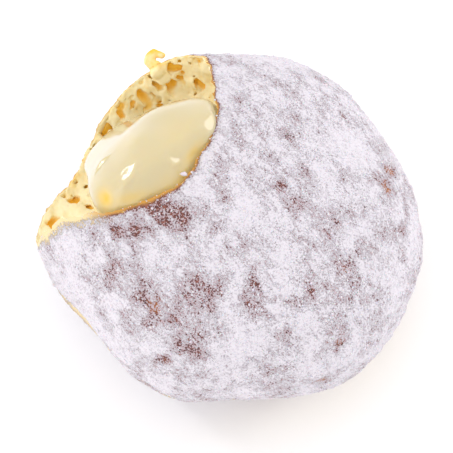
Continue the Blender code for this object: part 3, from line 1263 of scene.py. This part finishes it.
def open_strewn_bubbles(crumb, space, sizes, draw):
    """The crumb with bubbles opened all over it, but for the bite's tip."""
    tip = smooth_step(*CRUMB_TIP, space.grid.along(BITE_TURN[:, 1]))
    for share, rarity, depth in STREWN_BUBBLES:
        bubbles = (space.grid.cloud(sizes.sponge * share, draw) - rarity - tip) * depth * MM
        bubbles = np.minimum(bubbles, BUBBLE_FLOOR - space.past_scoop)
        bubbles = np.minimum(bubbles, -space.past_crust - BUBBLE_WALL)
        crumb = -blended(-crumb, -bubbles, STREWN_EDGE_SHARE * depth * MM)
    return crumb


def open_large_bubbles(crumb, grid, uneven):
    """Opens the large bubbles beside the cream in the crumb's distances."""
    for centre, reach in OPEN_BUBBLES:
        centre = from_bite(np.array(centre) * MM)
        reach = np.array(reach) * MM
        window, places = grid.window(centre, reach.max() + BUBBLE_MARGIN)
        inward = unit(centre - from_bite(BITE_CENTRE))
        across = unit(np.cross(inward, BITE_TURN[:, 2]))
        axes = np.stack((across, np.cross(across, inward), inward), 1)
        bubble = outside_egg((places - centre) @ axes, reach) + BUBBLE_ROUGHNESS * uneven[window]
        crumb[window] = -blended(-crumb[window], bubble, BUBBLE_EDGE)


def add_curl(crumb, grid, uneven):
    """Adds the curled crumb to the crumb's distances."""
    for centre, radius in curl_beads():
        window, places = grid.window(centre, radius + CURL_MARGIN)
        blob = np.linalg.norm(places - centre, axis=-1) - radius + CURL_ROUGHNESS * uneven[window]
        crumb[window] = blended(crumb[window], blob, CURL_BLEND)


def build_crumb(sizes, colours):
    draw = np.random.default_rng(CRUMB_DRAW)
    space = CrumbSpace(sizes)
    crumb = torn_wall(space, sizes, draw)
    crumb = open_strewn_bubbles(crumb, space, sizes, draw)
    uneven = space.grid.cloud(UNEVEN_SPACING, draw)
    open_large_bubbles(crumb, space.grid, uneven)
    add_curl(crumb, space.grid, uneven)

    points, faces = largest_part(*space.grid.skin(crumb))
    points += outward(points, faces) * layered(points, 0.0, CRUMB_TEARS)[:, None]
    piece = mesh_piece("open_crumb", points, faces, (crumb_finish(colours),))
    # Painted shade for the bubbles, from how far each point sinks past the bite, and a golden tint round the
    # curl
    shade_depth = space.grid.read(space.past_scoop, points) / BUBBLE_SHADE_DEPTH
    by_curl = fading(np.linalg.norm(points - CURL_CENTRE, axis=1), CURL_TINT_REACH, 4)
    mark(piece, "hollow", np.maximum(shade_depth, CURL_TINT * by_curl))
    crusty = fading(np.abs(depth_in_dough(points)), CRUSTY_REACH, 1)
    mark(piece, "crusty", crusty * (1 - CRUSTY_LOSS * left_end(points)))
    dress(piece, "dough")


# The cream


def flattened(points, faces):
    """The cream's points, with small flats pressed into it."""
    normals = outward(points, faces)
    pressed = points.copy()
    for place, facing, runs, length_of, width_of in CREAM_FLATS:
        centre = np.argmin(np.linalg.norm(points - from_bite(np.array(place) * MM), axis=1))
        out = normals[centre]
        facing = unit(np.array(facing))
        along = unit(np.array(runs) - (out @ runs) * out)
        away = points - points[centre]
        level = np.stack((away @ along / length_of, away @ np.cross(out, along) / width_of), 1) / MM
        share = fading(np.linalg.norm(level, axis=1), 1, 4) * (np.abs(away @ out) < FLAT_THROUGH)
        raised = -(away @ facing) / (facing @ out)
        pressed += np.outer(share * np.maximum(raised, DEEPEST_FLAT), out)
    return pressed


def from_rim(points):
    """How far the points lie from the bite's rim."""
    return np.hypot(past_bite(points), depth_in_dough(points))


def cream_relief(points, sizes):
    """How far the cream's ripples, swells and lip stand out, and its groove in."""
    places = to_bite(points)
    relief = sizes.ripple * layered(places * RIPPLE_SQUEEZE, 0.0, RIPPLES)
    for centre, spread, height in CREAM_SWELLS:
        relief += height * MM * fading(np.linalg.norm(places / MM - centre, axis=1), spread)
    near_side = smooth_step(*CREAM_NEAR_SIDE, places[:, 0])
    left_half = smooth_step(*CREAM_LEFT_HALF, places[:, 1])
    relief -= GROOVE_DEPTH * near_side * left_half * fading(from_rim(points), GROOVE_REACH)
    relief += LIP_HEIGHT * (1 - left_half) * fading(from_rim(points), LIP_REACH)
    return relief


def cream_glow_and_shade(points, places):
    """How much deeper yellow is painted on the cream: painted glow along the rim's left half, and a few soft
    patches, one of them painted shade.
    """
    glow_and_shade = RIM_GLOW_SHARE * fading(from_rim(points), RIM_GLOW_REACH)
    glow_and_shade = glow_and_shade * smooth_step(*CREAM_LEFT_GLOW, places[:, 1])
    for centre, spread, share in CREAM_TINTS:
        glow_and_shade = np.maximum(glow_and_shade, share * fading(np.linalg.norm(places / MM - centre, axis=1), spread))
    return glow_and_shade


def build_cream(sizes, colours):
    directions, faces = ball(CREAM_CELLS)
    smooth = cream_points(directions)
    relief = cream_relief(smooth, sizes)
    points = flattened(smooth + outward(smooth, faces) * relief[:, None], faces)
    piece = mesh_piece("pastry_cream", points, faces, (cream_finish(colours),))
    # Painted glow and shade: the deeper yellow along the rim and in the listed patches
    mark(piece, "golden", cream_glow_and_shade(points, to_bite(smooth)))
    dress(piece, "cream")


# Loose sugar


def rough_ball():
    """Corners and faces of a twenty-sided ball."""
    golden_ratio = (1 + 5**0.5) / 2
    corners = []
    for first in (-1.0, 1.0):
        for second in (-golden_ratio, golden_ratio):
            corners += [(0, first, second), (first, second, 0), (second, 0, first)]
    corners = unit(np.array(corners, float))
    edge = min(np.linalg.norm(corners[0] - corner) for corner in corners[1:]) * 1.01
    near = np.linalg.norm(corners[:, None] - corners[None], axis=-1) < edge
    faces = []
    for a, b, c in itertools.combinations(range(len(corners)), 3):
        if near[a, b] and near[b, c] and near[a, c]:
            out = np.dot(np.cross(corners[b] - corners[a], corners[c] - corners[a]), corners[a])
            faces.append((a, b, c) if out > 0 else (a, c, b))
    return corners, np.array(faces)


def crystal():
    """Corners and faces of an eight-sided grain."""
    corners = np.array(((1, 0, 0), (-1, 0, 0), (0, 1, 0), (0, -1, 0), (0, 0, 1), (0, 0, -1)), float)
    faces = []
    for first, second in ((0, 2), (2, 1), (1, 3), (3, 0)):
        faces += [(first, second, 4), (second, first, 5)]
    return corners, np.array(faces)


def strewn_places(surface, chances, count, draw):
    """Random spots on the sugared faces of a mesh, more of them where the chances are high."""
    mesh = surface.data
    mesh.calc_loop_triangles()
    corners = np.empty(len(mesh.loop_triangles) * 3, np.int32)
    mesh.loop_triangles.foreach_get("vertices", corners)
    corners = corners.reshape(-1, 3)
    sides = np.empty(len(mesh.loop_triangles), np.int32)
    mesh.loop_triangles.foreach_get("material_index", sides)
    points = points_of(mesh)
    first, second, third = (points[corners[:, corner]] for corner in range(3))
    across = np.cross(second - first, third - first)
    weight = np.linalg.norm(across, axis=1) * chances[corners].mean(1) * (sides == SUGARED_SIDE)
    chosen = draw.choice(len(corners), size=count, p=weight / weight.sum())
    along, over = draw.random((2, count))
    flip = along + over > 1
    along = np.where(flip, 1 - along, along)[:, None]
    over = np.where(flip, 1 - over, over)[:, None]
    places = first[chosen] + (second - first)[chosen] * along + (third - first)[chosen] * over
    return places, unit(across[chosen])


def strewn(name, shape, places, ups, radii, flatness, material, draw):
    """One joined mesh of many copies of a shape, each turned, squashed and dented in its own way."""
    corners, faces = shape
    count = len(places)
    spin = unit(draw.normal(size=(count, 3)))
    across = unit(np.cross(ups, spin))
    along = np.cross(ups, across)
    dented = corners[None] * (1 + draw.uniform(-DENTS, DENTS, (count, len(corners), 1)))
    lengths = (draw.uniform(*SIDE_LENGTHS, count), draw.uniform(*SIDE_LENGTHS, count), flatness)
    dented = dented * (radii[:, None] * np.stack(lengths, 1))[:, None]
    points = (
        places[:, None]
        + dented[..., 0:1] * across[:, None]
        + dented[..., 1:2] * along[:, None]
        + dented[..., 2:3] * ups[:, None]
    )
    all_faces = faces[None] + (np.arange(count) * len(corners))[:, None, None]
    return mesh_piece(name, points.reshape(-1, 3), all_faces.reshape(-1, 3), (material,))


def build_sugar(sizes, colours):
    draw = np.random.default_rng(SUGAR_DRAW)
    crust = bpy.data.objects.get("sugared_crust")
    if crust is None:
        raise RuntimeError("the crust comes before the sugar that lies on it")
    finish = sugar_finish(colours)
    cover = np.empty(len(crust.data.vertices), np.float32)
    crust.data.attributes["sugar"].data.foreach_get("value", cover)
    off_floor = smooth_step(*OFF_FLOOR, points_of(crust.data)[:, 2])

    places, ups = strewn_places(crust, (BARE_CLUMPS + cover) * off_floor, sizes.clumps, draw)
    spread = SMALLEST_CLUMP + (1 - SMALLEST_CLUMP) * draw.random(sizes.clumps) ** CLUMP_RARITY
    radii = sizes.clump * spread
    places[0], radii[0] = FLAKE_CENTRE, FLAKE_RADIUS
    flatness = draw.uniform(*CLUMP_FLATNESS, sizes.clumps)
    clumps = strewn("sugar_clumps", rough_ball(), places, ups, radii, flatness, finish, draw)
    dress(clumps, "dough")

    chances = (BARE_GRAINS + (1 - BARE_GRAINS) * cover) * off_floor
    places, ups = strewn_places(crust, chances, sizes.grains, draw)
    radii = sizes.grain * (SMALLEST_GRAIN + (1 - SMALLEST_GRAIN) * draw.random(sizes.grains))
    flatness = draw.uniform(*GRAIN_FLATNESS, sizes.grains)
    grains = strewn("sugar_grains", crystal(), places, ups, radii, flatness, finish, draw)
    dress(grains, "dough")


# The studio


def softbox(name, way, distance, side, energy, tint):
    """A square light that faces the doughnut from a direction."""
    lamp = bpy.data.lights.new(name, "AREA")
    lamp.shape = "RECTANGLE"
    lamp.size = side
    lamp.size_y = side
    lamp.energy = energy
    lamp.color = tint
    light = bpy.data.objects.new(name, lamp)
    bpy.context.scene.collection.objects.link(light)
    middle = Vector(MIDDLE)
    light.location = middle + Vector(way).normalized() * distance
    light.rotation_euler = Vector(way).to_track_quat("Z", "Y").to_euler()


def build_studio(studio, colours):
    scene = bpy.context.scene
    scene.view_settings.view_transform = "Standard"
    world = bpy.data.worlds.new("Room")
    scene.world = world
    world.use_nodes = True
    background = world.node_tree.nodes["Background"]
    background.inputs["Color"].default_value = (*colours.room, 1.0)
    background.inputs["Strength"].default_value = studio.sky

    corners = FLOOR_REACH * np.array(((-1, -1, 0), (1, -1, 0), (1, 1, 0), (-1, 1, 0)))
    floor = mesh_piece("floor", corners - MIDDLE, np.array(((0, 1, 2, 3),)), (floor_finish(colours),))

    for name, (way, distance, side, tint) in SOFTBOXES.items():
        softbox(name, way, distance, side, getattr(studio, name), tint)

    back = Vector((0, -math.cos(studio.height), math.sin(studio.height)))
    up = Vector((0, math.sin(studio.height), math.cos(studio.height)))
    target = Vector(MIDDLE) + Vector((1, 0, 0)) * studio.aim_right + up * studio.aim_up
    view = bpy.data.cameras.new("camera")
    view.lens = studio.lens
    view.sensor_width = SENSOR_WIDTH
    view.clip_start = NEAREST_SEEN
    camera = bpy.data.objects.new("camera", view)
    scene.collection.objects.link(camera)
    camera.location = target + back * studio.distance
    camera.rotation_euler = back.to_track_quat("Z", "Y").to_euler()
    scene.camera = camera


# Operators and the panel


class MakeCrust(bpy.types.Operator):
    """Makes the sugared crust, cut by the bite"""

    bl_idname = "doughnut.crust"
    bl_label = "Sugared crust"

    def execute(self, context):
        build_crust(context.scene.doughnut_sizes, context.scene.doughnut_colours)
        return {"FINISHED"}


class MakeCrumb(bpy.types.Operator):
    """Makes the open crumb that lines the bite"""

    bl_idname = "doughnut.crumb"
    bl_label = "Open crumb"

    def execute(self, context):
        build_crumb(context.scene.doughnut_sizes, context.scene.doughnut_colours)
        return {"FINISHED"}


class MakeCream(bpy.types.Operator):
    """Makes the pastry cream"""

    bl_idname = "doughnut.cream"
    bl_label = "Pastry cream"

    def execute(self, context):
        build_cream(context.scene.doughnut_sizes, context.scene.doughnut_colours)
        return {"FINISHED"}


class StrewSugar(bpy.types.Operator):
    """Strews clumps and grains of sugar over the crust"""

    bl_idname = "doughnut.sugar"
    bl_label = "Loose sugar"

    def execute(self, context):
        build_sugar(context.scene.doughnut_sizes, context.scene.doughnut_colours)
        return {"FINISHED"}


class SetStudio(bpy.types.Operator):
    """Lays the floor and sets the lights and the camera"""

    bl_idname = "doughnut.studio"
    bl_label = "Studio"

    def execute(self, context):
        build_studio(context.scene.doughnut_studio, context.scene.doughnut_colours)
        return {"FINISHED"}


class DoughnutPanel(bpy.types.Panel):
    """Lists the steps and their sizes, colours and lights"""

    bl_idname = "VIEW3D_PT_doughnut"
    bl_label = "Cream-filled doughnut"
    bl_space_type = "VIEW_3D"
    bl_region_type = "UI"
    bl_category = "Doughnut"

    def draw(self, context):
        for step in STEPS:
            self.layout.operator(step.bl_idname)
        for name, group in GROUPS:
            box = self.layout.box()
            for setting in group.__annotations__:
                box.prop(getattr(context.scene, name), setting)


STEPS = (MakeCrust, MakeCrumb, MakeCream, StrewSugar, SetStudio)
GROUPS = (
    ("doughnut_sizes", DoughnutSizes),
    ("doughnut_colours", DoughnutColours),
    ("doughnut_studio", DoughnutStudio),
)


def register():
    for name, group in GROUPS:
        bpy.utils.register_class(group)
        setattr(bpy.types.Scene, name, PointerProperty(type=group))
    for step in (*STEPS, DoughnutPanel):
        bpy.utils.register_class(step)


def unregister():
    for step in (DoughnutPanel, *reversed(STEPS)):
        bpy.utils.unregister_class(step)
    for name, group in reversed(GROUPS):
        delattr(bpy.types.Scene, name)
        bpy.utils.unregister_class(group)


def main():
    register()
    bpy.ops.doughnut.crust()
    bpy.ops.doughnut.crumb()
    bpy.ops.doughnut.cream()
    bpy.ops.doughnut.sugar()
    bpy.ops.doughnut.studio()


if __name__ == "__main__":
    main()
